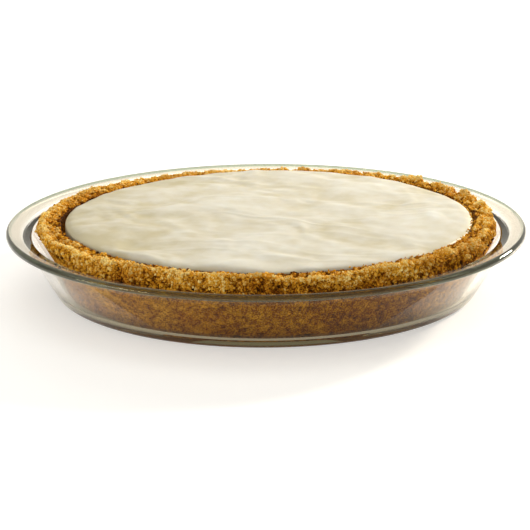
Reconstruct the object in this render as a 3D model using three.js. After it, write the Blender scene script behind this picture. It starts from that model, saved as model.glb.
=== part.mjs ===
// A whole, uncut key lime pie, baked in its own clear glass pie dish.
//
// Units are millimetres, +Z is up, and the table is z = 0. The origin is the centre of the dish's
// foot. Azimuths are degrees round +Z from +X, and -90 is the side that faces the viewer.
// Three solids lie one inside the next: the glass dish, the crumb crust pressed into it, and the
// set filling, whose edge stands clear of the crust's inner slope.

import * as THREE from 'three';
import { mergeVertices } from 'three/addons/utils/BufferGeometryUtils.js';

// ---- Driving dimensions -------------------------------------------------------------------

const CLEARANCE = 0.35; // gap between solids that touch in the real pie
const DISH_SEGMENTS = 72;
const CRUST_SEGMENTS = 188;
const FILLING_SEGMENTS = 72;

const DISH = {
  rimRadius: 127, // 254 mm over the rim
  rimCorner: 32.24, // height where the rim's outer face and the flange's top face would meet
  lipThickness: 3.43,
  lipTopRounding: 1.9,
  lipUnderRounding: 0.9,
  flangeTopFall: 0.31, // drop for each mm inwards
  flangeUnderFall: 0.24,
  shoulderRadius: 118.7, // where the outer wall meets the flange's underside
  shoulderRounding: 3,
  footRadius: 103.4,
  footRounding: 3.6,
  recessRadius: 86, // the foot is a flat ring round a shallow recess
  recessDepth: 0.8,
  wallThickness: 4.2,
  floorThickness: 3.8,
  mouthRounding: 2, // between the inner wall and the flange
  innerFloorRounding: 6,
};

const CRUST = {
  floorThickness: 6.6,
  radius: 112.1, // widest, where it stands free above the glass wall
  crestCorner: 37.2, // height where the outer face and the inner slope would meet
  crestHeight: 35, // of the rounded crest, before the relief
  crestRounding: 2.8,
  slopeFootRadius: 101.3, // the inner slope ends at the groove round the filling
  slopeFootHeight: 30.4,
  grooveBottom: 27.2,
  innerFootRadius: 93.5,
  pocketShift: 1.5, // the filling and its pocket lie this far off the dish's axis, along +X
  waistHeight: 29, // the outer face leans out above it
  waistLean: 0.9, // r for each mm of z
  underFaceRadius: 85, // the underside is flat inside this radius
  rimStep: 2.2, // longest facet along the rim's outline
  wallStep: 6, // and along the wall's
};

const CRUST_RELIEF = {
  lumpSize: 7, // clumps of pressed crumbs
  lumpDepth: 0.75,
  crumbSize: 3.4,
  crumbDepth: 1.0,
  coreRadius: 107, // the relief pushes outwards from this ring inside the rim
  coreHeight: 28.5,
  startHeight: 25.5, // smooth against the glass below, fully rough above
  fullHeight: 29.5,
  footFade: 3, // the relief fades in over this width from the foot of the inner slope
};

const WALL_GAP = {
  floorShare: 0.35, // how much of the gap is left under the crust's floor
  top: 23, // the gap reaches further round the pie below this height
  spread: 0.9, // degrees for each mm further down
  front: -90, // azimuth that it spreads towards from both sides
  turn: 30, // degrees on each side of the front in which the spread sets in
};

// The crust's unevenness round the pie, each as [azimuth, value] and eased in between.
const CREST_HEIGHTS = [
  [-160, 34.4], [-148, 35.1], [-131, 35.2], [-122, 36.4], [-107, 35.6], [-92, 36.8],
  [-82, 34.4], [-62, 36.0], [-5, 35.4], [40, 34.8], [56, 33.8], [66, 33.2], [84, 33.0],
  [96, 32.2], [115, 32.2], [132, 32.8], [150, 33.8],
];
const CLUMPINESS = [ // factor on the relief, heaviest at the right
  [-130, 1.2], [-60, 1.3], [-30, 2.0], [40, 1.9], [75, 1.1], [120, 0.9], [170, 1.1],
];
const WAIST_RADII = [
  [-172, 109.4], [-160, 109.2], [-150, 109.9], [-138, 111.8], [-90, 112.1], [-42, 111.9],
  [-30, 111.2], [-17, 110.4], [-5, 111.4], [30, 112.1], [150, 111.6], [175, 110.2],
];
const WALL_GAPS = [ // between crust and glass, beyond the clearance
  [-178, 3.2], [-165, 3.9], [-153, 3.2], [-140, 1.0], [-131, 0], [-50, 0], [-38, 0.8],
  [-22, 2.2], [-5, 1.6], [20, 0.6], [150, 0.6],
];
const SLOPE_FOOT_HEIGHTS = [ // where the crust meets the filling
  [-170, 32.6], [-158, 33.6], [-146, 34.0], [-128, 34.0], [-114, 33.8], [-90, 33.9], [-45, 34.2],
  [0, 34.0], [40, 32.8], [90, 31.0], [150, 31.0],
];
const GROOVE_WIDENING = [ // it closes where this is negative
  [-165, -0.2], [-148, -0.5], [-95, -0.7], [-60, -0.9], [30, -1.2], [70, -0.8], [120, -0.6],
  [150, -0.4], [172, 0],
];

const FILLING = {
  radius: 99.6,
  height: 34.9,
  domeRise: 0.4, // centre above edge
  shoulderWidth: 6, // the edge falls off over a quarter of an ellipse
  shoulderDrop: 2,
  shoulderSteps: 3,
  edgeWidth: 30, // the edge's unevenness fades out over this width
  edgeDepth: 4, // and reaches this far down
  ringSpacing: 14,
  waveLength: 22, // across the spatula strokes, which run along X
  strokeStretch: 2.6,
  waveDepth: 0.5,
};

// Height of the filling's edge: [azimuth, height].
const FILLING_EDGE_HEIGHTS = [
  [-145, 35.2], [-90, 35.2], [-45, 34.6], [0, 34.6], [60, 34.8], [92, 35.1], [120, 34.2],
  [150, 33.8], [180, 34.6],
];

const SEED = 11;

const { clamp, degToRad, euclideanModulo, lerp, radToDeg, smoothstep } = THREE.MathUtils;

// ---- Outlines -----------------------------------------------------------------------------

// Corners are [r, z, rounding, steps]. A rounded corner becomes an arc of the given steps.
function roundedOutline(corners) {
  const outline = [];
  corners.forEach(([r, z, rounding, steps], index) => {
    const corner = new THREE.Vector2(r, z);
    if (!rounding) {
      outline.push(corner);
      return;
    }
    const before = new THREE.Vector2(...corners[index - 1]).sub(corner).normalize();
    const after = new THREE.Vector2(...corners[index + 1]).sub(corner).normalize();
    const halfAngle = Math.acos(before.dot(after)) / 2;
    const centre = before.clone().add(after).normalize();
    centre.multiplyScalar(rounding / Math.sin(halfAngle)).add(corner);
    const reach = rounding / Math.tan(halfAngle);
    const start = before.multiplyScalar(reach).add(corner).sub(centre);
    const end = after.multiplyScalar(reach).add(corner).sub(centre);
    const sweep = Math.atan2(start.cross(end), start.dot(end));
    for (let step = 0; step <= steps; step += 1) {
      const point = start.clone().rotateAround(new THREE.Vector2(), (sweep * step) / steps);
      outline.push(point.add(centre));
    }
  });
  return outline;
}

// Splits the outline into pieces no longer than spacing(midpoint).
function subdivide(outline, spacing) {
  const fine = [outline[0]];
  for (let index = 1; index < outline.length; index += 1) {
    const from = outline[index - 1];
    const to = outline[index];
    const maxLength = spacing(from.clone().lerp(to, 0.5));
    const pieces = Math.max(1, Math.ceil(from.distanceTo(to) / maxLength));
    for (let piece = 1; piece <= pieces; piece += 1) {
      fine.push(from.clone().lerp(to, piece / pieces));
    }
  }
  return fine;
}

// Turns an outline that starts and ends on the axis into a closed solid round +Z.
function revolve(outline, segments) {
  const geometry = new THREE.LatheGeometry(outline, segments);
  geometry.deleteAttribute('normal');
  geometry.deleteAttribute('uv');
  geometry.rotateX(Math.PI / 2);
  return mergeVertices(geometry, 1e-4);
}

function moveVertices(geometry, move) {
  const position = geometry.getAttribute('position');
  const vertex = new THREE.Vector3();
  for (let index = 0; index < position.count; index += 1) {
    move(vertex.fromBufferAttribute(position, index));
    position.setXYZ(index, vertex.x, vertex.y, vertex.z);
  }
  return geometry;
}

// ---- Seeded relief ------------------------------------------------------------------------

function latticeValue(i, j, k) {
  const wave = Math.sin(i * 127.1 + j * 311.7 + k * 74.7 + SEED) * 43758.5453;
  return 2 * (wave - Math.floor(wave)) - 1;
}

// Smooth noise between -1 and 1, with one random value at each point of a unit lattice.
function smoothNoise(x, y, z) {
  const [i, j, k] = [x, y, z].map(Math.floor);
  const [u, v, w] = [x - i, y - j, z - k].map((t) => smoothstep(t, 0, 1));
  const along = (dj, dk) =>
    lerp(latticeValue(i, j + dj, k + dk), latticeValue(i + 1, j + dj, k + dk), u);
  return lerp(lerp(along(0, 0), along(1, 0), v), lerp(along(0, 1), along(1, 1), v), w);
}

// Value at an azimuth, eased between the listed places.
function roundThePie(places, azimuth) {
  const count = places.length;
  for (let index = 0; index < count; index += 1) {
    const [from, low] = places[index];
    const [to, high] = places[(index + 1) % count];
    const span = euclideanModulo(to - from, 360);
    const along = euclideanModulo(azimuth - from, 360);
    if (along <= span) return lerp(low, high, smoothstep(along / span, 0, 1));
  }
  throw new RangeError(`no place for azimuth ${azimuth}`);
}

// ---- The dish -----------------------------------------------------------------------------

const lipUnderside = DISH.rimCorner - DISH.lipThickness;
const shoulderHeight =
  lipUnderside - (DISH.rimRadius - DISH.shoulderRadius) * DISH.flangeUnderFall;
const wallFlare = (DISH.shoulderRadius - DISH.footRadius) / shoulderHeight; // r for each mm of z
const flareCosine = 1 / Math.hypot(1, wallFlare);

// Radius of the inner wall at a height, moved inwards by a clearance square to the wall.
function innerWallRadius(z, clearance = 0) {
  return DISH.footRadius + wallFlare * z - (DISH.wallThickness + clearance) / flareCosine;
}

// Where the inner wall would meet the flange's top face.
function mouthCorner() {
  const base = innerWallRadius(0);
  const z =
    (DISH.rimCorner - DISH.flangeTopFall * (DISH.rimRadius - base)) /
    (1 - DISH.flangeTopFall * wallFlare);
  return [base + wallFlare * z, z];
}

function glassDish() {
  const outline = roundedOutline([
    [0, DISH.recessDepth],
    [DISH.recessRadius, DISH.recessDepth],
    [DISH.recessRadius + DISH.recessDepth, 0],
    [DISH.footRadius, 0, DISH.footRounding, 3],
    [DISH.shoulderRadius, shoulderHeight, DISH.shoulderRounding, 2],
    [DISH.rimRadius, lipUnderside, DISH.lipUnderRounding, 2],
    [DISH.rimRadius, DISH.rimCorner, DISH.lipTopRounding, 3],
    [...mouthCorner(), DISH.mouthRounding, 3],
    [innerWallRadius(DISH.floorThickness), DISH.floorThickness, DISH.innerFloorRounding, 3],
    [0, DISH.floorThickness],
  ]);
  return revolve(outline, DISH_SEGMENTS);
}

// ---- The crust ----------------------------------------------------------------------------

const crustUnderside = DISH.floorThickness + CLEARANCE;
const crustFloor = crustUnderside + CRUST.floorThickness;

// Radius of the crust's inner wall, which the filling lies against, at a height.
const pocketLean =
  (CRUST.slopeFootRadius - CRUST.innerFootRadius) / (CRUST.slopeFootHeight - crustFloor);
function pocketRadius(z) {
  return CRUST.innerFootRadius + pocketLean * (z - crustFloor);
}

// The crust leaves the glass wall where that wall reaches the crust's own radius.
function crustLeavesWall() {
  const z = (CRUST.radius - innerWallRadius(0, CLEARANCE)) / wallFlare;
  return [CRUST.radius, z];
}

// Height of the clumps and crumbs at a point of the smooth crust.
function clumpHeight({ x, y, z }, azimuth) {
  const { lumpSize, lumpDepth, crumbSize, crumbDepth } = CRUST_RELIEF;
  const lump = smoothNoise(x / lumpSize, y / lumpSize, z / lumpSize) * lumpDepth;
  const crumb = smoothNoise(x / crumbSize, y / crumbSize, z / crumbSize) * crumbDepth;
  return (lump + crumb) * roundThePie(CLUMPINESS, azimuth);
}

// How far the crust's outer face stands clear of the glass. Lower down the gap reaches further
// round towards the front, and onFloor runs from 0 at the wall to 1 under the crust.
function wallGap(r, z, azimuth, onFloor) {
  if (r <= CRUST.underFaceRadius) return 0;
  const side = clamp((azimuth - WALL_GAP.front) / WALL_GAP.turn, -1, 1);
  const nearFront = clamp(-2 * Math.sin(degToRad(azimuth)), 0, 1);
  const spread = side * nearFront * WALL_GAP.spread * Math.max(WALL_GAP.top - z, 0);
  return roundThePie(WALL_GAPS, azimuth + spread) * lerp(1, WALL_GAP.floorShare, onFloor);
}

// Whether a point of the smooth crust lies on its underside or its outer face.
function isOuterFace(r, z) {
  const wall = Math.min(innerWallRadius(z, CLEARANCE), CRUST.radius);
  return z < crustFloor - 1 || r > wall - 1;
}

// Turns the smooth crust into the uneven one, vertex by vertex.
function shapeCrust(vertex) {
  const { x, y, z } = vertex;
  const r = Math.hypot(x, y);
  if (r === 0) return;
  const azimuth = radToDeg(Math.atan2(y, x));
  const isOuter = isOuterFace(r, z);
  const { coreRadius, coreHeight, startHeight, fullHeight, footFade } = CRUST_RELIEF;

  // Above the glass the relief pushes outwards, and below it the face stands back from the glass.
  const aboveGlass = smoothstep(z, startHeight, fullHeight);
  const onFloor = smoothstep(
    DISH.floorThickness + DISH.innerFloorRounding - z, 0, DISH.innerFloorRounding);
  const relief = smoothstep(r - CRUST.slopeFootRadius, 0, footFade) * clumpHeight(vertex, azimuth);
  const push = lerp(isOuter ? -wallGap(r, z, azimuth, onFloor) : 0, relief, aboveGlass);
  const outwards = new THREE.Vector2(flareCosine, -wallFlare * flareCosine);
  outwards.lerp(new THREE.Vector2(0, -1), onFloor);
  outwards.lerp(new THREE.Vector2(r - coreRadius, z - coreHeight).normalize(), aboveGlass);

  const nearPocket = 1 - smoothstep(r, CRUST.slopeFootRadius, coreRadius);
  const nearFoot = nearPocket * smoothstep(z, CRUST.grooveBottom, CRUST.slopeFootHeight);
  const nearCrest = (1 - nearPocket) * smoothstep(z, CRUST.slopeFootHeight, CRUST.crestHeight);
  const crestLift = nearCrest * (roundThePie(CREST_HEIGHTS, azimuth) - CRUST.crestHeight);
  const footLift = nearFoot * (roundThePie(SLOPE_FOOT_HEIGHTS, azimuth) - CRUST.slopeFootHeight);
  vertex.z += outwards.y * push + crestLift + footLift;

  const lean = CRUST.waistLean * Math.max(z - CRUST.waistHeight, 0);
  const beyondWaist = aboveGlass * Math.max(r - roundThePie(WAIST_RADII, azimuth) - lean, 0);
  const widening = nearFoot * roundThePie(GROOVE_WIDENING, azimuth);
  const newRadius = Math.min(
    r + outwards.x * push - beyondWaist + widening,
    innerWallRadius(vertex.z, CLEARANCE),
  );
  vertex.x = (x * newRadius) / r + (isOuter ? 0 : nearPocket * CRUST.pocketShift);
  vertex.y = (y * newRadius) / r;
}

function crumbCrust() {
  const { slopeFootRadius, slopeFootHeight, innerFootRadius, grooveBottom } = CRUST;
  const grooveRadius = pocketRadius(grooveBottom);
  const outline = roundedOutline([
    [0, crustUnderside],
    [CRUST.underFaceRadius, crustUnderside],
    [
      innerWallRadius(crustUnderside, CLEARANCE), crustUnderside,
      DISH.innerFloorRounding - CLEARANCE, 3,
    ],
    crustLeavesWall(),
    [CRUST.radius, CRUST.crestCorner, CRUST.crestRounding, 4],
    [slopeFootRadius, slopeFootHeight],
    [grooveRadius, grooveBottom],
    [innerFootRadius, crustFloor],
    [0, crustFloor],
  ]);
  const rimStart = crustLeavesWall()[1];
  const fine = subdivide(outline, (point) => {
    if (!isOuterFace(point.x, point.y) && point.x < slopeFootRadius) return Infinity;
    if (point.y > rimStart) return CRUST.rimStep;
    return point.y > crustFloor ? CRUST.wallStep : Infinity;
  });
  return moveVertices(revolve(fine, CRUST_SEGMENTS), shapeCrust);
}

// ---- The filling --------------------------------------------------------------------------

// Top face without its waves: a shallow dome.
function domeHeight(r) {
  return FILLING.height + FILLING.domeRise * (1 - (r / FILLING.radius) ** 2);
}

// From the upright edge over onto the top.
function shoulder() {
  const points = [];
  for (let step = 0; step <= FILLING.shoulderSteps; step += 1) {
    const turn = ((Math.PI / 2) * step) / FILLING.shoulderSteps;
    points.push([
      FILLING.radius - FILLING.shoulderWidth * (1 - Math.cos(turn)),
      FILLING.height - FILLING.shoulderDrop * (1 - Math.sin(turn)),
    ]);
  }
  return points;
}

function topRings() {
  const rings = [];
  const outermost = FILLING.radius - FILLING.shoulderWidth - FILLING.ringSpacing;
  for (let r = outermost; r > 0; r -= FILLING.ringSpacing) rings.push([r, domeHeight(r)]);
  rings.push([0, domeHeight(0)]);
  return rings;
}

// Turns the smooth filling into the uneven one, vertex by vertex.
function shapeFilling(vertex) {
  const { x, y, z } = vertex;
  vertex.x += CRUST.pocketShift;
  if (z < FILLING.height - FILLING.edgeDepth) return;
  const azimuth = radToDeg(Math.atan2(y, x));
  const nearEdge = smoothstep(
    Math.hypot(x, y), FILLING.radius - FILLING.edgeWidth, FILLING.radius);
  const onTop = smoothstep(z, FILLING.height - FILLING.shoulderDrop, FILLING.height);
  const wave = smoothNoise(x / (FILLING.waveLength * FILLING.strokeStretch), y / FILLING.waveLength, 0);
  vertex.z += nearEdge * (roundThePie(FILLING_EDGE_HEIGHTS, azimuth) - FILLING.height);
  vertex.z += onTop * wave * FILLING.waveDepth;
}

function fillingSolid() {
  const underside = crustFloor + CLEARANCE;
  const gap = CLEARANCE * Math.hypot(1, pocketLean);
  const freeHeight = crustFloor + (FILLING.radius + gap - CRUST.innerFootRadius) / pocketLean;
  const outline = roundedOutline([
    [0, underside],
    [pocketRadius(underside) - gap, underside],
    [FILLING.radius, freeHeight],
    ...shoulder(),
    ...topRings(),
  ]);
  return moveVertices(revolve(outline, FILLING_SEGMENTS), shapeFilling);
}

// ---- Scene graph --------------------------------------------------------------------------

const glass = new THREE.MeshStandardMaterial({
  color: 0xdfe6d8, metalness: 0, roughness: 0.03, transparent: true, opacity: 0.35,
});
const crumbs = new THREE.MeshStandardMaterial({ color: 0xc08435, metalness: 0, roughness: 0.9 });
const cream = new THREE.MeshStandardMaterial({ color: 0xe2d5af, metalness: 0, roughness: 0.4 });

function named(name, geometry, material) {
  const mesh = new THREE.Mesh(geometry, material);
  mesh.name = name;
  return mesh;
}

const pie = new THREE.Group();
pie.add(
  named('glass_dish', glassDish(), glass),
  named('crust', crumbCrust(), crumbs),
  named('filling', fillingSolid(), cream),
);

export default pie;
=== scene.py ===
"""Looks of a whole key lime pie in its clear glass pie dish.

Sizes are in millimetres unless stated otherwise, and every mesh is scaled to metres when it is
made. Azimuths are degrees round +Z from +X, and -90 is the side that faces the camera.
"""

import itertools
import math

import bpy
import numpy as np
from mathutils import Matrix, Vector


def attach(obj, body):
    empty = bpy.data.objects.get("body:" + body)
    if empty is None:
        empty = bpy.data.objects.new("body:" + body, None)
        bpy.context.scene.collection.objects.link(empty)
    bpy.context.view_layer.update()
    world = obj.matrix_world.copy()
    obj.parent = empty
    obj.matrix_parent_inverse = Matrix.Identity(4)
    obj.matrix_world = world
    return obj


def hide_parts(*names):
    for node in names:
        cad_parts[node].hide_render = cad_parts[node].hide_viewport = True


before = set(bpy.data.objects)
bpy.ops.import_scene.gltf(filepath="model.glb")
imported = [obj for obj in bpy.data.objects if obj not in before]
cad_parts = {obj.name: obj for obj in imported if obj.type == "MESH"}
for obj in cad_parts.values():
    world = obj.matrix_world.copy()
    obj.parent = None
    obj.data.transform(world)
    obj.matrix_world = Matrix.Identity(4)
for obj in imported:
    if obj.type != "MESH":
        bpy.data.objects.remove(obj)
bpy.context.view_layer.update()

MM = 0.001
rng = np.random.default_rng(7)

# ---- Sizes of the dish --------------------------------------------------------------------

# A fall or a flare is a slope: so many millimetres for each one outwards or upwards.
RIM_RADIUS = 127.0
RIM_CORNER = 32.24
LIP_THICKNESS = 3.43
LIP_TOP_ROUNDING = 1.9
LIP_UNDER_ROUNDING = 0.9
FLANGE_TOP_FALL = 0.31
FLANGE_UNDER_FALL = 0.24
SHOULDER_RADIUS = 118.7
SHOULDER_ROUNDING = 3.0
FOOT_RADIUS = 103.4
FOOT_ROUNDING = 3.6
RECESS_RADIUS = 86.0
RECESS_DEPTH = 0.8
WALL_THICKNESS = 4.2
GLASS_FLOOR = 3.8
MOUTH_ROUNDING = 2.0
INNER_FLOOR_ROUNDING = 6.0

LIP_UNDERSIDE = RIM_CORNER - LIP_THICKNESS
SHOULDER_HEIGHT = LIP_UNDERSIDE - (RIM_RADIUS - SHOULDER_RADIUS) * FLANGE_UNDER_FALL
WALL_FLARE = (SHOULDER_RADIUS - FOOT_RADIUS) / SHOULDER_HEIGHT

# Points along the outline are this far apart, and further on the flat inside a radius.
GLASS_SEGMENTS = 360
GLASS_SPACING = 4.0
GLASS_FLAT_SPACING = 15.0
GLASS_FLAT_RADIUS = 60

# ---- Sizes of the crust -------------------------------------------------------------------

# The gap between the solids of the dish, the crust and the filling.
CLEARANCE = 0.35
# How far the crust reaches into the glass that it is pressed against.
REACH = 0.05

CRUST_FLOOR_THICKNESS = 6.6
CRUST_RADIUS = 112.1
CREST_CORNER = 37.2
CREST_HEIGHT = 35.0
CREST_ROUNDING = 2.8
SLOPE_FOOT_RADIUS = 101.3
SLOPE_FOOT_HEIGHT = 30.4
INNER_FOOT_RADIUS = 93.5

CRUST_UNDERSIDE = GLASS_FLOOR + CLEARANCE
CRUST_FLOOR = CRUST_UNDERSIDE + CRUST_FLOOR_THICKNESS

CRUST_SEGMENTS = 820
CRUST_SPACING = 0.85
CRUST_HIDDEN_SPACING = 8.0
# How far a point may lie from the outer face or the pocket's edge and still belong to it.
FACE_MARGIN = 1.0

# [azimuth, height] of the crust's crest.
CREST_HEIGHTS = [
    (-160, 34.4), (-148, 35.1), (-131, 35.2), (-122, 36.4), (-107, 35.6), (-92, 36.8),
    (-82, 34.4), (-62, 36.0), (-5, 35.4), (40, 34.8), (56, 33.8), (66, 33.2), (84, 33.0),
    (96, 32.2), (115, 32.2), (132, 32.8), (150, 33.8),
]

# [azimuth, factor] on the clumps, which are heaviest at the right.
LUMPINESS = [(-130, 1.2), (-60, 1.3), (-30, 2.0), (40, 1.9), (75, 1.1), (120, 0.9), (170, 1.1)]

# The relief stands out from this (radius, height), starts at a height and is full at another,
# and fades out towards the foot of the inner slope.
RELIEF_CORE = (107.0, 28.5)
RELIEF_START = 25.5
RELIEF_FULL = 29.5
FOOT_FADE = 3.0

# [azimuth, radius] of the crust's outer face at its waist. It leans out above the waist.
CRUST_RADII = [
    (-172, 109.4), (-160, 109.2), (-150, 109.9), (-138, 111.8), (-90, 112.1), (-42, 111.9),
    (-30, 111.2), (-17, 110.4), (-5, 111.4), (30, 112.1), (150, 111.6), (175, 110.2),
]
WAIST_HEIGHT = 29.0
WAIST_LEAN = 0.9

# [azimuth, gap] between the crust and the dish's wall.
WALL_GAPS = [
    (-178, 3.2), (-165, 3.9), (-153, 3.2), (-140, 1.0), (-131, 0), (-50, 0), (-38, 0.8),
    (-22, 2.2), (-5, 1.6), (20, 0.6), (150, 0.6),
]
# Below a height the gaps reach further round to the front, by so many degrees a millimetre, and
# by less within so many degrees of the front itself.
GAP_TOP = 23.0
GAP_SPREAD = 0.9
FRONT_AZIMUTH = -90
FRONT_HALF_WIDTH = 30
# The gaps narrow to this share at the dish's floor, and close between two radii under the crust.
FLOOR_GAP_SHARE = 0.35
GAP_CLOSING_RADII = (75, 92)

# [azimuth, height] of the foot of the slope, where the crust meets the filling.
SLOPE_FOOT_HEIGHTS = [
    (-170, 32.6), (-158, 33.6), (-146, 34.0), (-128, 34.0), (-114, 33.8), (-90, 33.9),
    (-45, 34.2), (0, 34.0), (40, 32.8), (90, 31.0), (150, 31.0),
]

# [azimuth, how far the groove beside the filling widens, or closes where negative].
GROOVE_WIDENING = [
    (-165, -0.2), (-148, -0.5), (-95, -0.7), (-60, -0.9), (30, -1.2), (70, -0.8), (120, -0.6),
    (150, -0.4), (172, 0),
]
GROOVE_BOTTOM = 27.2

# The filling and its pocket in the crust lie this far off the dish's axis, along +X.
POCKET_SHIFT = 1.5

# ---- Sizes of the loose crumbs ------------------------------------------------------------

# How deep the crust's own surface lies under the loose crumbs that cover it.
CRUMB_BURIAL = 0.6
CRUMB_STEP = 0.5
CRUMB_START_RADIUS = SLOPE_FOOT_RADIUS + 0.8

# Shares of a crumb's radius, from and to.
CORNER_DISTANCE = (0.75, 1.25)
CRUMB_WIDTH = (0.6, 1)
CRUMB_THICKNESS = (0.45, 0.9)
CRUMB_LIFT = 0.55
# Above 1, most crumbs are close to the smallest radius of their kind.
CRUMB_SMALLNESS = 1.6

EDGE_CRUMB_AZIMUTHS = (-70, 60)
EDGE_CRUMB_REACH = 0.9

# ---- Sizes of the filling -----------------------------------------------------------------

FILLING_RADIUS = 99.6
FILLING_HEIGHT = 34.9
FILLING_DOME_RISE = 0.4
FILLING_SHOULDER_WIDTH = 6.0
FILLING_SHOULDER_DROP = 2.0
FILLING_SHOULDER_POINTS = 10

FILLING_SEGMENTS = 600
FILLING_RING_STEP = 1.0
FILLING_SPACING = 1.05
FILLING_HIDDEN_SPACING = 5.0
FILLING_HIDDEN_HEIGHT = 30

# [azimuth, height] of the filling's edge over the shoulder. Away from the edge and below the
# shoulder, the filling keeps its own height.
FILLING_EDGE_HEIGHTS = [
    (-145, 35.2), (-90, 35.2), (-45, 34.6), (0, 34.6), (60, 34.8), (92, 35.1), (120, 34.2),
    (150, 33.8), (180, 34.6),
]
FILLING_EDGE_WIDTH = 30
FILLING_EDGE_DEPTH = 4

# The spatula's strokes lie along +X, slant a little and bend.
STROKE_SLANT = 0.16
STROKE_BEND = 12
STROKE_BEND_SIZE = 30
STROKE_BEND_SEEDS = (31, 33)
RIDGE_SIZE, RIDGE_SEED = 12, 41
RIDGE_STRETCH = 3.0
RIDGE_SHARPNESS = 2.0
RIDGE_HEIGHT = 0.24
STREAK_SIZE, STREAK_SEED = 3.2, 43
STREAK_STRETCH = 2.5
STREAK_HEIGHT = 0.05

# ---- Noise layers, each (size, depth, seed) -----------------------------------------------

CLUMP_LAYERS = [(7.0, 0.75, 11), (3.4, 1.0, 11)]
CRUMB_LAYERS = [(1.7, 0.6, 3), (0.9, 0.3, 5)]
PRESSED_CRUMB_LAYERS = [(2.6, 0.1, 23), (1.1, 0.22, 29)]
PRESSED_GAP_LAYERS = [(1.2, 0.7, 17), (2.6, 0.4, 19)]
DIP_LAYERS = [(19, 0.8, 37), (8.5, 0.36, 38)]

# ---- Tones, from 0 for dark to 1 for pale -------------------------------------------------

BAKED_TONE = 0.66
# The relief's tips get a painted highlight and its dips painted shade, the crest a painted
# highlight, and the crust painted shade low down.
CLUMP_LIGHT = 0.11
CRUMB_LIGHT = 0.65
CREST_LIGHT = 0.3
CREST_LIGHT_RADII = (106, 108.5)
CREST_LIGHT_HEIGHTS = (33, 35.5)
LOW_SHADE = 0.26
LOW_SHADE_HEIGHTS = (26, 33)
SLOPE_SHADE = 0.07
SLOPE_SHADE_RADII = (104, 107)
# Painted shade on the crust under the loose crumbs.
UNDER_CRUMBS_SHADE = 0.34
CRUMB_TONE_SPREAD = 0.15
EDGE_CRUMB_TONE = 0.75

# [azimuth, how much darker] the groove between crust and filling is, as painted shade in the
# recess.
GROOVE_SHADE = [(-150, 0.5), (-60, 0.35), (-25, 0.05), (60, 0.05), (120, 0.25), (160, 0.5)]
GROOVE_SHADE_RADII = (SLOPE_FOOT_RADIUS + 0.2, SLOPE_FOOT_RADIUS + 2)

# The crust turns from pressed to loose between these heights, and its underside is even in tone
# up to between these radii.
LOOSE_HEIGHTS = (24.5, 28.5)
UNDERSIDE_RADII = (84, 90)
PRESSED_TONE = 0.49
# Painted shade in the gaps between the crumbs pressed against the glass.
PRESSED_GAP_SHADE = 0.2
PRESSED_GAP_CONTRAST = 1.3
PRESSED_GAP_THRESHOLD = 0.5

# [azimuth, how much darker] the crust is behind the glass, as painted shade.
BEHIND_GLASS_PAINTED_SHADE = [(-150, 0), (-120, 0.02), (-90, 0.1), (-60, 0.16), (0, 0.1), (60, 0.05), (150, 0)]

# How strongly a millimetre of the strokes' height shows in the filling's colour, as painted shade
# in the dips and painted highlight on the ridges, and how many millimetres deeper its edge and its
# left side look, as painted shade.
STROKE_CONTRAST = 0.24
FILLING_EDGE_SHADE = 1.2
FILLING_EDGE_SHADE_WIDTH = 3
FILLING_LEFT_SHADE = 1.6
FILLING_LEFT_SHADE_REACH = (25, 98)

# ---- Glass, stage and camera --------------------------------------------------------------

# In metres: where the glass starts to change towards its lip, over what width, and how high its
# foot is tinted with painted shade.
LIP_CHANGE_START = 0.112
LIP_CHANGE_WIDTH = 0.015
FOOT_TINT_HEIGHT = 0.014

FLOOR_HALF_WIDTH = 1600.0
FLOOR_DROP = 0.1

CAMERA_DISTANCE = 900.6
CAMERA_ELEVATION = 16.03
CAMERA_ROLL = -0.35
CAMERA_TARGET = (-0.59, 0, 8.84)
FOCAL_LENGTH_PX = 1818.7
IMAGE_WIDTH_PX = 530
SENSOR_WIDTH = 36
CLIP_END_M = 20

# Name, place and size in metres, power in watts, colour, and whether the glass mirrors it.
LIGHTS = [
    ("key", (0.85, 0.7, 0.45), (0.15, 0.15), 22, (1, 0.88, 0.69), True),
    ("overhead", (-0.1, 0.25, 1.3), (1.0, 0.8), 5, (1, 0.93, 0.8), False),
    ("left_high", (-0.9, -0.3, 0.9), (0.6, 0.6), 1.5, (1, 0.92, 0.78), False),
    ("left_low", (-1.1, -0.5, 0.22), (0.8, 0.1), 3, (1, 0.91, 0.76), True),
    ("front_top", (-0.2, -1.0, 1.0), (0.8, 0.6), 1.2, (1, 0.92, 0.78), False),
    ("back_soft", (-0.1, 1.5, 0.9), (0.8, 0.5), 6, (1, 0.95, 0.86), False),
]
LIGHT_AIM_M = (0, 0, 0.03)

# [sine of the height over the horizon, brightness] of the surroundings, and their colour.
SKY_BRIGHTNESS = [(0.1, 0.68), (0.45, 0.42)]
SKY_COLOUR = (1, 0.95, 0.84)


# ---- Outlines and meshes ------------------------------------------------------------------

ARC_STEP_DEGREES = 6.0


def rounded_outline(corners):
    """Points of an outline whose corners are (r, z) or (r, z, rounding)."""
    outline = []
    for index, (r, z, *rounding) in enumerate(corners):
        corner = np.array([r, z])
        if not rounding:
            outline.append(corner)
            continue
        before = np.array(corners[index - 1][:2]) - corner
        after = np.array(corners[index + 1][:2]) - corner
        before /= np.linalg.norm(before)
        after /= np.linalg.norm(after)
        half_angle = math.acos(before @ after) / 2
        towards = (before + after) / np.linalg.norm(before + after)
        centre = corner + towards * rounding[0] / math.sin(half_angle)
        start = corner + before * rounding[0] / math.tan(half_angle) - centre
        end = corner + after * rounding[0] / math.tan(half_angle) - centre
        sweep = math.atan2(start[0] * end[1] - start[1] * end[0], start @ end)
        steps = max(2, round(abs(math.degrees(sweep)) / ARC_STEP_DEGREES))
        for angle in np.linspace(0, sweep, steps + 1):
            turn = np.array([[math.cos(angle), -math.sin(angle)],
                             [math.sin(angle), math.cos(angle)]])
            outline.append(centre + turn @ start)
    return np.array(outline)


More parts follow.
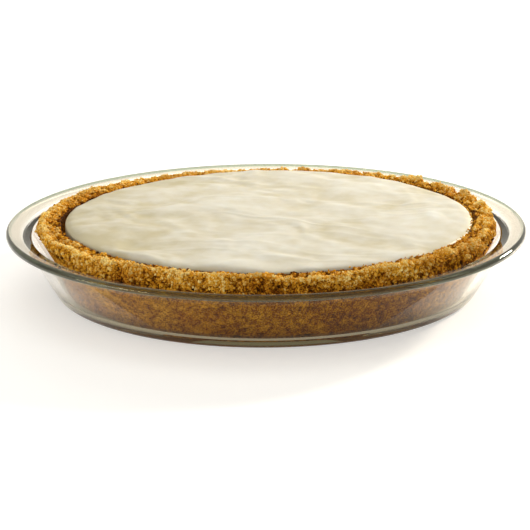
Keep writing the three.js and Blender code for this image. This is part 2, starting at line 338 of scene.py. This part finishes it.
def subdivided(outline, spacing):
    """Points along the outline no further apart than spacing(point), corners kept."""
    fine = [outline[0]]
    for start, end in zip(outline[:-1], outline[1:]):
        length = np.linalg.norm(end - start)
        pieces = max(1, math.ceil(length / spacing((start + end) / 2)))
        fine += [start + (end - start) * piece / pieces for piece in range(1, pieces + 1)]
    return np.array(fine)


def mesh_object(name, vertices_mm, faces, smooth=True):
    mesh = bpy.data.meshes.new(name)
    mesh.from_pydata(np.asarray(vertices_mm) * MM, [], faces)
    mesh.update()
    if smooth:
        mesh.shade_smooth()
    else:
        mesh.shade_flat()
    piece = bpy.data.objects.new(name, mesh)
    bpy.context.scene.collection.objects.link(piece)
    return piece


def set_tone(piece, tone):
    """Gives each point of the mesh a tone, which its material turns into colour."""
    attribute = piece.data.attributes.new("tone", "FLOAT", "POINT")
    attribute.data.foreach_set("value", np.asarray(tone, np.float32))


def revolved(name, outline, segments, shape=None, tone=None):
    """Closed solid of an outline that starts and ends on the axis, counterclockwise in (r, z).

    shape(x, y, z) may move the points, and tone(x, y, z) gives each point its tone from its place
    before the move. The two poles follow the rings beside them.
    """
    angles = np.linspace(0, 2 * math.pi, segments, endpoint=False)
    rings = outline[1:-1]
    x = rings[:, 0, None] * np.cos(angles)
    y = rings[:, 0, None] * np.sin(angles)
    z = np.repeat(rings[:, 1, None], segments, axis=1)
    before = x, y, z
    if shape:
        x, y, z = shape(x, y, z)
    poles = [(x[ring].mean(), y[ring].mean(), z[ring].mean()) for ring in (0, -1)]
    vertices = np.concatenate([np.stack([x, y, z], -1).reshape(-1, 3), poles])

    here = np.arange(segments)
    after = (here + 1) % segments
    row = np.arange(len(rings) - 1)[:, None] * segments
    quads = np.stack([row + here, row + after, row + segments + after, row + segments + here], -1)
    first_pole = len(vertices) - 2
    last_row = (len(rings) - 1) * segments
    under = np.stack([np.full(segments, first_pole), after, here], -1)
    top = np.stack([np.full(segments, first_pole + 1), last_row + here, last_row + after], -1)
    faces = quads.reshape(-1, 4).tolist() + under.tolist() + top.tolist()
    piece = mesh_object(name, vertices, faces)
    if tone:
        values = tone(*before)
        set_tone(piece, np.append(values.ravel(), [values[0].mean(), values[-1].mean()]))
    return piece


# ---- Seeded relief ------------------------------------------------------------------------

def lattice_value(i, j, k, seed):
    """Value between -1 and 1 that looks random from one lattice point to the next."""
    wave = np.sin(i * 127.1 + j * 311.7 + k * 74.7 + seed) * 43758.5453
    return 2 * (wave - np.floor(wave)) - 1


def smooth_noise(x, y, z, size, seed):
    """Noise between -1 and 1 with one random value at each point of a lattice of that size."""
    x, y, z = np.broadcast_arrays(x, y, z)
    place = np.stack([x, y, z]) / size
    i, j, k = np.floor(place)
    u, v, w = place - np.floor(place)
    u, v, w = (t * t * (3 - 2 * t) for t in (u, v, w))

    def along(dj, dk):
        low = lattice_value(i, j + dj, k + dk, seed)
        high = lattice_value(i + 1, j + dj, k + dk, seed)
        return low + (high - low) * u

    lower = along(0, 0) + (along(1, 0) - along(0, 0)) * v
    upper = along(0, 1) + (along(1, 1) - along(0, 1)) * v
    return lower + (upper - lower) * w


def layered_noise(x, y, z, layers):
    return sum(smooth_noise(x, y, z, size, seed) * depth for size, depth, seed in layers)


def smoothstep(value, low, high):
    t = np.clip((value - low) / (high - low), 0, 1)
    return t * t * (3 - 2 * t)


def round_the_pie(places, azimuth):
    """Value at each azimuth, eased between the listed (azimuth, value) places."""
    listed = np.array(places, float)
    azimuth = np.asarray(azimuth, float)
    value = np.zeros_like(azimuth)
    for (start, low), (end, high) in zip(listed, np.roll(listed, -1, axis=0)):
        span = (end - start) % 360
        along = (azimuth - start) % 360
        inside = along <= span
        value[inside] = low + (high - low) * smoothstep(along[inside] / span, 0, 1)
    return value


def azimuth_of(x, y):
    return np.degrees(np.arctan2(y, x))


# ---- Materials ----------------------------------------------------------------------------

# Sockets of the mix node that share their names with others.
MIX_FACTOR, MIX_FIRST_COLOUR, MIX_SECOND_COLOUR = 0, 6, 7
MIX_RESULT_COLOUR = 2


def grey(value):
    return value, value, value


class Shader:
    """A material's node tree with short calls for adding and linking nodes."""

    def __init__(self, name):
        self.material = bpy.data.materials.new(name)
        self.material.use_nodes = True
        self.tree = self.material.node_tree
        self.surface = self.tree.nodes["Principled BSDF"]
        self.output = self.tree.nodes["Material Output"]
        self.position = self.add("ShaderNodeTexCoord").outputs["Object"]

    def add(self, kind, **settings):
        node = self.tree.nodes.new(kind)
        for name, value in settings.items():
            setattr(node, name, value)
        return node

    def set(self, **values):
        for name, value in values.items():
            self.surface.inputs[name.replace("_", " ")].default_value = value

    def link(self, source, target):
        self.tree.links.new(source, target)

    def tone(self):
        """The tone that the mesh gives each of its points."""
        return self.add("ShaderNodeAttribute", attribute_name="tone").outputs["Fac"]

    def noise(self, size_mm, detail, roughness=0.5, stretch=(1, 1, 1)):
        mapping = self.add("ShaderNodeMapping")
        mapping.inputs["Scale"].default_value = [1 / s for s in stretch]
        self.link(self.position, mapping.inputs["Vector"])
        node = self.add("ShaderNodeTexNoise")
        node.inputs["Scale"].default_value = 1 / (size_mm * MM)
        node.inputs["Detail"].default_value = detail
        node.inputs["Roughness"].default_value = roughness
        self.link(mapping.outputs["Vector"], node.inputs["Vector"])
        return node.outputs["Fac"]

    def ramp(self, factor, stops):
        """Colour that follows the (place, colour) stops."""
        node = self.add("ShaderNodeValToRGB")
        elements = node.color_ramp.elements
        while len(elements) < len(stops):
            elements.new(0.5)
        for element, (place, colour) in zip(elements, stops):
            element.position = place
            element.color = (*colour, 1)
        self.link(factor, node.inputs["Fac"])
        return node.outputs["Color"]

    def multiplied(self, first, second):
        node = self.add("ShaderNodeMix", data_type="RGBA", blend_type="MULTIPLY")
        node.inputs[MIX_FACTOR].default_value = 1.0
        self.link(first, node.inputs[MIX_FIRST_COLOUR])
        self.link(second, node.inputs[MIX_SECOND_COLOUR])
        return node.outputs[MIX_RESULT_COLOUR]

    def math(self, operation, first, second=0.0):
        node = self.add("ShaderNodeMath", operation=operation)
        for socket, value in zip(node.inputs, (first, second)):
            if isinstance(value, bpy.types.NodeSocket):
                self.link(value, socket)
            else:
                socket.default_value = value
        return node.outputs[0]

    def bump(self, height, distance_mm, strength=1.0):
        node = self.add("ShaderNodeBump")
        node.inputs["Strength"].default_value = strength
        node.inputs["Distance"].default_value = distance_mm * MM
        self.link(height, node.inputs["Height"])
        self.link(node.outputs["Normal"], self.surface.inputs["Normal"])


def glass_material():
    """Clear glass, olive and shiniest in its thick lip, and brownish on the flange and foot, the
    tints deepened by painted shade.
    """
    shader = Shader("clear_glass")
    shader.set(Roughness=0.015, IOR=1.474, Transmission_Weight=1.0, Coat_Roughness=0.03)
    axes = shader.add("ShaderNodeSeparateXYZ")
    shader.link(shader.position, axes.inputs["Vector"])
    x, y, z = (axes.outputs[axis] for axis in "XYZ")
    radius = shader.math("SQRT", shader.math(
        "ADD", shader.math("POWER", x, 2.0), shader.math("POWER", y, 2.0)))
    outwards = shader.math(
        "DIVIDE", shader.math("SUBTRACT", radius, LIP_CHANGE_START), LIP_CHANGE_WIDTH)
    # The glass's own olive tint, darkened at the lip and on the flange as painted shade.
    rim_tint_and_painted_shade = shader.ramp(outwards, [
        (0.4, (1.0, 0.98, 0.94)), (0.6, (0.79, 0.73, 0.62)), (0.83, (0.79, 0.73, 0.62)),
        (0.94, (0.2, 0.29, 0.2))])
    upwards = shader.math("DIVIDE", z, FOOT_TINT_HEIGHT)
    # Painted shade darkens the foot.
    foot_tint_and_painted_shade = shader.ramp(upwards, [(0.35, (0.48, 0.42, 0.29)), (0.9, grey(1.0))])
    tint = shader.multiplied(rim_tint_and_painted_shade, foot_tint_and_painted_shade)
    shader.link(tint, shader.surface.inputs["Base Color"])
    coat = shader.ramp(outwards, [(0.6, grey(0.0)), (0.94, grey(0.5))])
    shader.link(coat, shader.surface.inputs["Coat Weight"])
    shine = shader.ramp(outwards, [(0.4, (0.3, 0.27, 0.15)), (0.94, (1.0, 0.95, 0.6))])
    shader.link(shine, shader.surface.inputs["Specular Tint"])
    absorb = shader.add("ShaderNodeVolumeAbsorption")
    absorb.inputs["Color"].default_value = (0.6, 0.61, 0.5, 1)
    absorb.inputs["Density"].default_value = 9.0
    shader.link(absorb.outputs["Volume"], shader.output.inputs["Volume"])
    return shader.material


def crumb_material(name, speckle_depth):
    """Dry biscuit crumbs with toasted patches, darker in the gaps and paler on the tips by the
    painted shade and highlight in their tone.
    """
    shader = Shader(name)
    shader.set(Roughness=0.85, Specular_IOR_Level=0.1)
    tone = shader.tone()
    speckle = shader.math(
        "SUBTRACT", shader.noise(size_mm=0.6, detail=3.0, roughness=0.6), 0.5)
    blend = shader.math("ADD", tone, shader.math("MULTIPLY", speckle, speckle_depth))
    colour = shader.ramp(blend, [
        (0.0, (0.035, 0.011, 0.0008)), (0.3, (0.26, 0.09, 0.004)), (0.6, (0.74, 0.36, 0.02)),
        (0.85, (0.86, 0.53, 0.08)), (1.0, (0.9, 0.75, 0.32))])
    toast = shader.ramp(
        shader.noise(size_mm=22.0, detail=2.0), [(0.35, (0.78, 0.66, 0.5)), (0.65, grey(1.0))])
    shader.link(shader.multiplied(colour, toast), shader.surface.inputs["Base Color"])
    grain = shader.noise(size_mm=0.5, detail=3.0, roughness=0.7)
    shader.bump(grain, distance_mm=0.12)
    return shader.material


def cream_material():
    """Pale set cream, whitest on the raised strokes by a painted highlight and cloudy in between.
    """
    shader = Shader("set_filling")
    shader.set(Roughness=0.5, IOR=1.42, Subsurface_Weight=0.2, Subsurface_Scale=0.003,
               Subsurface_Radius=(1.0, 0.75, 0.4))
    tone = shader.tone()
    cloud = shader.noise(size_mm=10.0, detail=5.0)
    blend = shader.math("ADD", shader.math("MULTIPLY", tone, STROKE_CONTRAST), cloud)
    colour = shader.ramp(blend, [
        (0.1, (0.45, 0.42, 0.30)), (0.5, (0.55, 0.545, 0.49)), (0.9, (0.63, 0.65, 0.64))])
    shader.link(colour, shader.surface.inputs["Base Color"])
    streak = shader.noise(size_mm=5.0, detail=4.0, stretch=(3.0, 1.0, 1.0))
    shader.bump(streak, distance_mm=0.1, strength=0.5)
    return shader.material


def floor_material():
    shader = Shader("floor")
    shader.set(Base_Color=(0.6, 0.62, 0.66, 1), Roughness=0.6,
               Emission_Color=(1.0, 0.98, 0.95, 1), Emission_Strength=0.5)
    return shader.material


# ---- The glass dish -----------------------------------------------------------------------

def inner_wall_radius(z, clearance=0.0):
    return FOOT_RADIUS + WALL_FLARE * z - (WALL_THICKNESS + clearance) * math.hypot(1, WALL_FLARE)


def glass_dish():
    base = inner_wall_radius(0)
    mouth_z = (RIM_CORNER - FLANGE_TOP_FALL * (RIM_RADIUS - base)) / (
        1 - FLANGE_TOP_FALL * WALL_FLARE)
    outline = rounded_outline([
        (0, RECESS_DEPTH),
        (RECESS_RADIUS, RECESS_DEPTH),
        (RECESS_RADIUS + RECESS_DEPTH, 0),
        (FOOT_RADIUS, 0, FOOT_ROUNDING),
        (SHOULDER_RADIUS, SHOULDER_HEIGHT, SHOULDER_ROUNDING),
        (RIM_RADIUS, LIP_UNDERSIDE, LIP_UNDER_ROUNDING),
        (RIM_RADIUS, RIM_CORNER, LIP_TOP_ROUNDING),
        (base + WALL_FLARE * mouth_z, mouth_z, MOUTH_ROUNDING),
        (inner_wall_radius(GLASS_FLOOR), GLASS_FLOOR, INNER_FLOOR_ROUNDING),
        (0, GLASS_FLOOR),
    ])

    def spacing(point):
        return GLASS_SPACING if point[0] > GLASS_FLAT_RADIUS else GLASS_FLAT_SPACING

    return revolved("dish_glass", subdivided(outline, spacing), GLASS_SEGMENTS)


# ---- The crust ----------------------------------------------------------------------------

def crust_outline(spacing):
    leaves_wall_height = (CRUST_RADIUS - inner_wall_radius(0, CLEARANCE)) / WALL_FLARE
    outline = rounded_outline([
        (0, CRUST_UNDERSIDE),
        (inner_wall_radius(CRUST_UNDERSIDE, CLEARANCE), CRUST_UNDERSIDE,
         INNER_FLOOR_ROUNDING - CLEARANCE),
        (CRUST_RADIUS, leaves_wall_height),
        (CRUST_RADIUS, CREST_CORNER, CREST_ROUNDING),
        (SLOPE_FOOT_RADIUS, SLOPE_FOOT_HEIGHT),
        (INNER_FOOT_RADIUS, CRUST_FLOOR),
        (0, CRUST_FLOOR),
    ])
    return subdivided(outline, spacing)


def clumps(x, y, z):
    """Height of the coarse relief."""
    return layered_noise(x, y, z, CLUMP_LAYERS) * round_the_pie(LUMPINESS, azimuth_of(x, y))


def crumb_relief(x, y, z):
    """Height of the fine relief."""
    return layered_noise(x, y, z, CRUMB_LAYERS)


def wall_gap(r, azimuth, z, on_floor):
    """How far the crust stands off the glass."""
    near_front = np.clip(-2 * np.sin(np.radians(azimuth)), 0, 1)
    from_front = np.clip((azimuth - FRONT_AZIMUTH) / FRONT_HALF_WIDTH, -1, 1) * near_front
    spread_azimuth = azimuth + from_front * GAP_SPREAD * np.maximum(GAP_TOP - z, 0)
    share = (1 - (1 - FLOOR_GAP_SHARE) * on_floor) * smoothstep(r, *GAP_CLOSING_RADII)
    return round_the_pie(WALL_GAPS, spread_azimuth) * share


def roughened(x, y, z):
    """The crust's surface, craggy above the glass and lying against it or off it below.

    The crags are sunk by the depth of the loose crumbs that cover them.
    """
    r = np.hypot(x, y)
    azimuth = azimuth_of(x, y)
    above_glass = smoothstep(z, RELIEF_START, RELIEF_FULL)
    on_floor = smoothstep(GLASS_FLOOR + INNER_FLOOR_ROUNDING - z, 0, INNER_FLOOR_ROUNDING)
    wall = np.minimum(inner_wall_radius(z, CLEARANCE), CRUST_RADIUS)
    outer_face = (z < CRUST_FLOOR - FACE_MARGIN) | (r > wall - FACE_MARGIN)

    from_foot = smoothstep(r - SLOPE_FOOT_RADIUS, 0, FOOT_FADE)
    crags = from_foot * clumps(x, y, z) + crumb_relief(x, y, z) - CRUMB_BURIAL
    towards_glass = CLEARANCE + REACH - wall_gap(r, azimuth, z, on_floor)
    push = above_glass * crags + (1 - above_glass) * outer_face * towards_glass

    steep = 1 / math.hypot(1, WALL_FLARE)
    wall_r = steep * (1 - on_floor)
    wall_z = -WALL_FLARE * steep * (1 - on_floor) - on_floor
    out_r, out_z = r - RELIEF_CORE[0], z - RELIEF_CORE[1]
    length = np.hypot(out_r, out_z)
    toward_r = out_r / length * above_glass + wall_r * (1 - above_glass)
    toward_z = out_z / length * above_glass + wall_z * (1 - above_glass)

    near_pocket = 1 - smoothstep(r, SLOPE_FOOT_RADIUS, RELIEF_CORE[0])
    near_foot = near_pocket * smoothstep(z, GROOVE_BOTTOM, SLOPE_FOOT_HEIGHT)
    rise = smoothstep(z, SLOPE_FOOT_HEIGHT, CREST_HEIGHT) * (1 - near_pocket)
    waist = round_the_pie(CRUST_RADII, azimuth) + WAIST_LEAN * np.maximum(z - WAIST_HEIGHT, 0)
    beyond = np.maximum(r - waist, 0) * above_glass
    new_r = r - beyond + toward_r * push + near_foot * round_the_pie(GROOVE_WIDENING, azimuth)
    new_z = (z + toward_z * push + rise * (round_the_pie(CREST_HEIGHTS, azimuth) - CREST_HEIGHT)
             + near_foot * (round_the_pie(SLOPE_FOOT_HEIGHTS, azimuth) - SLOPE_FOOT_HEIGHT))
    shift = POCKET_SHIFT * near_pocket * ~outer_face
    return x * new_r / r + shift, y * new_r / r, new_z


def crust_tone_and_painted_light(x, y, z):
    """Crumbs are palest on the crest and on the tips of the clumps and crumbs, a painted
    highlight, and darker in their dips, low down and in the groove, painted shade; the inner slope
    is a little darker.
    """
    r = np.hypot(x, y)
    shade = round_the_pie(GROOVE_SHADE, azimuth_of(x, y))
    groove = (1 - smoothstep(r, *GROOVE_SHADE_RADII)) * shade
    crest = smoothstep(r, *CREST_LIGHT_RADII) * smoothstep(z, *CREST_LIGHT_HEIGHTS) * CREST_LIGHT
    low = (1 - smoothstep(z, *LOW_SHADE_HEIGHTS)) * LOW_SHADE
    slope = (1 - smoothstep(r, *SLOPE_SHADE_RADII)) * SLOPE_SHADE
    # Painted highlight on the relief's tips and painted shade in its dips.
    clump_painted_light = CLUMP_LIGHT * clumps(x, y, z)
    crumb_painted_light = CRUMB_LIGHT * crumb_relief(x, y, z)
    return BAKED_TONE + clump_painted_light + crumb_painted_light + crest - low - slope - groove


def pressed_gaps(x, y, z):
    """How open the gaps are between the crumbs that are pressed against the glass, 0 to 1, which
    the tone darkens as painted shade.
    """
    gaps = layered_noise(x, y, z, PRESSED_GAP_LAYERS)
    return np.clip(PRESSED_GAP_CONTRAST * gaps - PRESSED_GAP_THRESHOLD, 0, 1)


def core_tone(x, y, z):
    """Tone, with painted shade, of the crust under the loose crumbs above the glass and of the
    pressed crust below.
    """
    loose = smoothstep(z, *LOOSE_HEIGHTS)
    outer = smoothstep(np.hypot(x, y), *UNDERSIDE_RADII)
    crumbs = layered_noise(x, y, z, PRESSED_CRUMB_LAYERS)
    # Painted shade on the crust behind the glass.
    behind_glass_painted_shade = round_the_pie(BEHIND_GLASS_PAINTED_SHADE, azimuth_of(x, y))
    gaps = PRESSED_GAP_SHADE * pressed_gaps(x, y, z)
    pressed = PRESSED_TONE + outer * (crumbs - gaps - behind_glass_painted_shade)
    return np.clip(
        loose * (crust_tone_and_painted_light(x, y, z) - UNDER_CRUMBS_SHADE) + (1 - loose) * pressed, 0, 1)


def crust_core():
    def spacing(point):
        r, z = point
        in_pocket = r < SLOPE_FOOT_RADIUS - FACE_MARGIN and z > CRUST_UNDERSIDE + FACE_MARGIN
        hidden = r < INNER_FOOT_RADIUS or in_pocket
        return CRUST_HIDDEN_SPACING if hidden else CRUST_SPACING

    return revolved("crust_core", crust_outline(spacing), CRUST_SEGMENTS, roughened, core_tone)


# ---- The loose crumbs ---------------------------------------------------------------------

def tetrahedron():
    corners = np.array([(1, 1, 1), (1, -1, -1), (-1, 1, -1), (-1, -1, 1)]) / 3 ** 0.5
    return corners, np.array([(0, 1, 2), (0, 3, 1), (0, 2, 3), (1, 3, 2)])


def octahedron():
    corners = np.array([(1, 0, 0), (-1, 0, 0), (0, 1, 0),
                        (0, -1, 0), (0, 0, 1), (0, 0, -1)], float)
    faces = np.array([(0, 2, 4), (2, 1, 4), (1, 3, 4), (3, 0, 4),
                      (2, 0, 5), (1, 2, 5), (3, 1, 5), (0, 3, 5)])
    return corners, faces


def icosahedron():
    golden = (1 + 5 ** 0.5) / 2
    corners = []
    for a, b in ((-1, -golden), (1, -golden), (-1, golden), (1, golden)):
        corners += [(0, a, b), (a, b, 0), (b, 0, a)]
    corners = np.array(corners, float)
    edge = 2.0
    near = np.abs(np.linalg.norm(corners[:, None] - corners[None], axis=-1) - edge) < 1e-6
    faces = []
    for i, j, k in itertools.combinations(range(len(corners)), 3):
        if near[i, j] and near[j, k] and near[i, k]:
            normal = np.cross(corners[j] - corners[i], corners[k] - corners[i])
            outward = normal @ corners[i] > 0
            faces.append((i, j, k) if outward else (i, k, j))
    return corners / np.linalg.norm(corners[0]), np.array(faces)


def random_rotations(count):
    q = rng.normal(size=(count, 4))
    w, x, y, z = (q / np.linalg.norm(q, axis=1, keepdims=True)).T
    return np.stack([
        np.stack([1 - 2 * (y * y + z * z), 2 * (x * y - z * w), 2 * (x * z + y * w)], -1),
        np.stack([2 * (x * y + z * w), 1 - 2 * (x * x + z * z), 2 * (y * z - x * w)], -1),
        np.stack([2 * (x * z - y * w), 2 * (y * z + x * w), 1 - 2 * (x * x + y * y)], -1),
    ], -2)


def rim_places(count):
    """Random points on the crust's rim above the glass, with their outward normals and tone."""
    outline = crust_outline(lambda point: CRUMB_STEP)
    length = np.concatenate([[0], np.cumsum(np.linalg.norm(np.diff(outline, axis=0), axis=1))])
    on_rim = (outline[:, 1] > RELIEF_START) & (outline[:, 0] > CRUMB_START_RADIUS)
    start, end = length[on_rim].min(), length[on_rim].max()
    s = rng.uniform(start, end, count)
    angle = rng.uniform(-math.pi, math.pi, count)

    def smooth_point(s, angle):
        r = np.interp(s, length, outline[:, 0])
        z = np.interp(s, length, outline[:, 1])
        return r * np.cos(angle), r * np.sin(angle), z

    before = smooth_point(s, angle)
    here = np.array(roughened(*before))
    along = np.array(roughened(*smooth_point(s + CRUMB_STEP, angle))) - here
    around = np.array(roughened(*smooth_point(s, angle + CRUMB_STEP / CRUST_RADIUS))) - here
    normal = np.cross(around, along, axis=0)
    return here.T, (normal / np.linalg.norm(normal, axis=0)).T, crust_tone_and_painted_light(*before)


def filling_edge_places(count):
    """Random points on the filling, most at its edge, with upward normals and tone."""
    azimuth = np.radians(rng.uniform(*EDGE_CRUMB_AZIMUTHS, count))
    r = FILLING_RADIUS - EDGE_CRUMB_REACH * rng.random(count) ** 2
    inset = np.clip((FILLING_RADIUS - r) / FILLING_SHOULDER_WIDTH, 0, 1)
    shoulder = FILLING_SHOULDER_DROP * (1 - np.sqrt(1 - (1 - inset) ** 2))
    z = round_the_pie(FILLING_EDGE_HEIGHTS, np.degrees(azimuth)) - shoulder
    x, y = r * np.cos(azimuth), r * np.sin(azimuth)
    here = np.stack([x + POCKET_SHIFT, y, z + strokes(x, y)], -1)
    return here, np.tile([0.0, 0.0, 1.0], (count, 1)), np.full(count, EDGE_CRUMB_TONE)


def scattered_crumbs(name, body, places, low, high, sink):
    """Separate irregular crumbs with radii from low to high, sunk by up to that share of them."""
    corners, faces = body
    centre, normal, tone = places
    count = len(centre)
    radius = low * (high / low) ** (rng.random(count) ** CRUMB_SMALLNESS)
    shape = corners[None] * rng.uniform(*CORNER_DISTANCE, (count, len(corners), 1))
    shape = shape * np.stack([np.ones(count), rng.uniform(*CRUMB_WIDTH, count),
                              rng.uniform(*CRUMB_THICKNESS, count)], -1)[:, None]
    shape = np.einsum("nij,nkj->nki", random_rotations(count), shape) * radius[:, None, None]
    lift = rng.uniform(-sink, CRUMB_LIFT, count) * radius
    vertices = centre[:, None] + normal[:, None] * lift[:, None, None] + shape
    all_faces = faces[None] + (np.arange(count) * len(corners))[:, None, None]
    piece = mesh_object(
        name, vertices.reshape(-1, 3), all_faces.reshape(-1, 3).tolist(), smooth=False)
    tone = tone + rng.normal(0, CRUMB_TONE_SPREAD, count)
    set_tone(piece, np.repeat(np.clip(tone, 0, 1), len(corners)))
    return piece


# ---- The filling --------------------------------------------------------------------------

def strokes(x, y):
    """Height of the dips, ridges and streaks that a spatula leaves."""
    bend_u, bend_v = (STROKE_BEND * smooth_noise(x, y, 0, STROKE_BEND_SIZE, seed)
                      for seed in STROKE_BEND_SEEDS)
    u = x + bend_u
    v = y + STROKE_SLANT * x + bend_v
    dips = layered_noise(u, v, 0, DIP_LAYERS)
    across_ridge = np.abs(smooth_noise(u / RIDGE_STRETCH, v, 0, RIDGE_SIZE, RIDGE_SEED))
    ridges = np.clip(1 - across_ridge * RIDGE_SHARPNESS, 0, 1) ** 2 * RIDGE_HEIGHT
    streaks = smooth_noise(u / STREAK_STRETCH, v, 0, STREAK_SIZE, STREAK_SEED) * STREAK_HEIGHT
    return dips + ridges + streaks


def spread(x, y, z):
    """The filling's surface, with its edge heights round the pie and the strokes on its top."""
    near_edge = smoothstep(np.hypot(x, y), FILLING_RADIUS - FILLING_EDGE_WIDTH, FILLING_RADIUS)
    edge = near_edge * (z > FILLING_HEIGHT - FILLING_EDGE_DEPTH)
    lift = edge * (round_the_pie(FILLING_EDGE_HEIGHTS, azimuth_of(x, y)) - FILLING_HEIGHT)
    top = smoothstep(z, FILLING_HEIGHT - FILLING_SHOULDER_DROP, FILLING_HEIGHT)
    return x + POCKET_SHIFT, y, z + lift + top * strokes(x, y)


def cream_tone(x, y, z):
    """Painted shade: the dips, the edge and the left side are darker, and the raised strokes paler
    as a painted highlight.
    """
    edge = smoothstep(np.hypot(x, y), FILLING_RADIUS - FILLING_EDGE_SHADE_WIDTH, FILLING_RADIUS)
    left = smoothstep(-x, *FILLING_LEFT_SHADE_REACH)
    return strokes(x, y) - edge * FILLING_EDGE_SHADE - left * FILLING_LEFT_SHADE


def dome_height(r):
    return FILLING_HEIGHT + FILLING_DOME_RISE * (1 - (r / FILLING_RADIUS) ** 2)


def filling_body():
    underside = CRUST_FLOOR + CLEARANCE
    lean = (SLOPE_FOOT_RADIUS - INNER_FOOT_RADIUS) / (SLOPE_FOOT_HEIGHT - CRUST_FLOOR)
    gap = CLEARANCE * math.hypot(1, lean)
    free_height = CRUST_FLOOR + (FILLING_RADIUS + gap - INNER_FOOT_RADIUS) / lean
    turn = np.linspace(0, math.pi / 2, FILLING_SHOULDER_POINTS)
    shoulder_r = FILLING_RADIUS - FILLING_SHOULDER_WIDTH * (1 - np.cos(turn))
    shoulder_z = FILLING_HEIGHT - FILLING_SHOULDER_DROP * (1 - np.sin(turn))
    step = FILLING_RING_STEP
    inner_r = np.arange(shoulder_r[-1] - step, step / 2, -step)
    outline = np.array([
        (0, underside),
        (INNER_FOOT_RADIUS - gap + lean * CLEARANCE, underside),
        (FILLING_RADIUS, free_height),
        *zip(shoulder_r, shoulder_z),
        *zip(inner_r, dome_height(inner_r)),
        (0, dome_height(0)),
    ])

    def spacing(point):
        return FILLING_SPACING if point[1] > FILLING_HIDDEN_HEIGHT else FILLING_HIDDEN_SPACING

    return revolved(
        "filling_cream", subdivided(outline, spacing), FILLING_SEGMENTS, spread, cream_tone)


# ---- Stage --------------------------------------------------------------------------------

def stage_floor():
    half, z = FLOOR_HALF_WIDTH, -FLOOR_DROP
    corners = [(-half, -half, z), (half, -half, z), (half, half, z), (-half, half, z)]
    floor = mesh_object("floor", corners, [(0, 1, 2, 3)], smooth=False)
    floor.data.materials.append(floor_material())


def camera():
    elevation, roll = math.radians(CAMERA_ELEVATION), math.radians(CAMERA_ROLL)
    forward = Vector((0, math.cos(elevation), -math.sin(elevation)))
    level = Vector((1, 0, 0))
    upward = level.cross(forward)
    right = math.cos(roll) * level + math.sin(roll) * upward
    up = math.cos(roll) * upward - math.sin(roll) * level
    data = bpy.data.cameras.new("camera")
    data.sensor_width = SENSOR_WIDTH
    data.lens = FOCAL_LENGTH_PX / IMAGE_WIDTH_PX * data.sensor_width
    data.clip_end = CLIP_END_M
    viewer = bpy.data.objects.new("camera", data)
    bpy.context.scene.collection.objects.link(viewer)
    place = (Vector(CAMERA_TARGET) - CAMERA_DISTANCE * forward) * MM
    turned = Matrix((right, up, -forward)).transposed().to_4x4()
    viewer.matrix_world = Matrix.Translation(place) @ turned
    bpy.context.scene.camera = viewer


def area_light(name, place, size, power, colour, mirrored):
    data = bpy.data.lights.new(name, "AREA")
    data.energy, data.color = power, colour
    data.shape, data.size, data.size_y = "RECTANGLE", *size
    light = bpy.data.objects.new(name, data)
    light.location = place
    aim = Vector(LIGHT_AIM_M) - light.location
    light.rotation_euler = aim.to_track_quat("-Z", "Y").to_euler()
    light.visible_glossy = mirrored
    bpy.context.scene.collection.objects.link(light)


def surroundings():
    """Soft warm light from all round, brightest near the horizon."""
    world = bpy.data.worlds.new("studio")
    world.use_nodes = True
    nodes, links = world.node_tree.nodes, world.node_tree.links
    axes = nodes.new("ShaderNodeSeparateXYZ")
    links.new(nodes.new("ShaderNodeTexCoord").outputs["Generated"], axes.inputs["Vector"])
    sky = nodes.new("ShaderNodeValToRGB")
    for stop, (place, brightness) in zip(sky.color_ramp.elements, SKY_BRIGHTNESS):
        stop.position = place
        stop.color = (*(share * brightness for share in SKY_COLOUR), 1)
    links.new(axes.outputs["Z"], sky.inputs["Fac"])
    links.new(sky.outputs["Color"], nodes["Background"].inputs["Color"])
    bpy.context.scene.world = world
    bpy.context.scene.view_settings.view_transform = "Standard"


def light_paths():
    """Enough bounces for light that runs along inside the glass."""
    cycles = bpy.context.scene.cycles
    cycles.max_bounces = 24
    cycles.glossy_bounces = 16
    cycles.transmission_bounces = 24


# ---- Build --------------------------------------------------------------------------------

def add_to_part(piece, material, node):
    piece.data.materials.append(material)
    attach(piece, "root")
    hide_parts(node)


add_to_part(glass_dish(), glass_material(), "glass_dish")

core_finish = crumb_material("crumb_core", speckle_depth=1.7)
loose_finish = crumb_material("crumb_loose", speckle_depth=0.6)
add_to_part(crust_core(), core_finish, "crust")

# Name, body, where and how many, smallest and largest radius, and share of it that may be sunk.
for name, body, places, count, low, high, sink in (
    ("crumbs_fine", tetrahedron, rim_places, 28000, 0.3, 0.65, 0.3),
    ("crumbs_small", octahedron, rim_places, 16000, 0.45, 0.9, 0.2),
    ("crumbs_medium", icosahedron, rim_places, 5500, 0.55, 1.0, 0.3),
    ("crumbs_on_edge", icosahedron, filling_edge_places, 320, 0.25, 0.6, 0.3),
):
    crumbs = scattered_crumbs(name, body(), places(count), low, high, sink)
    add_to_part(crumbs, loose_finish, "crust")

add_to_part(filling_body(), cream_material(), "filling")

stage_floor()
camera()
for light in LIGHTS:
    area_light(*light)
surroundings()
light_paths()
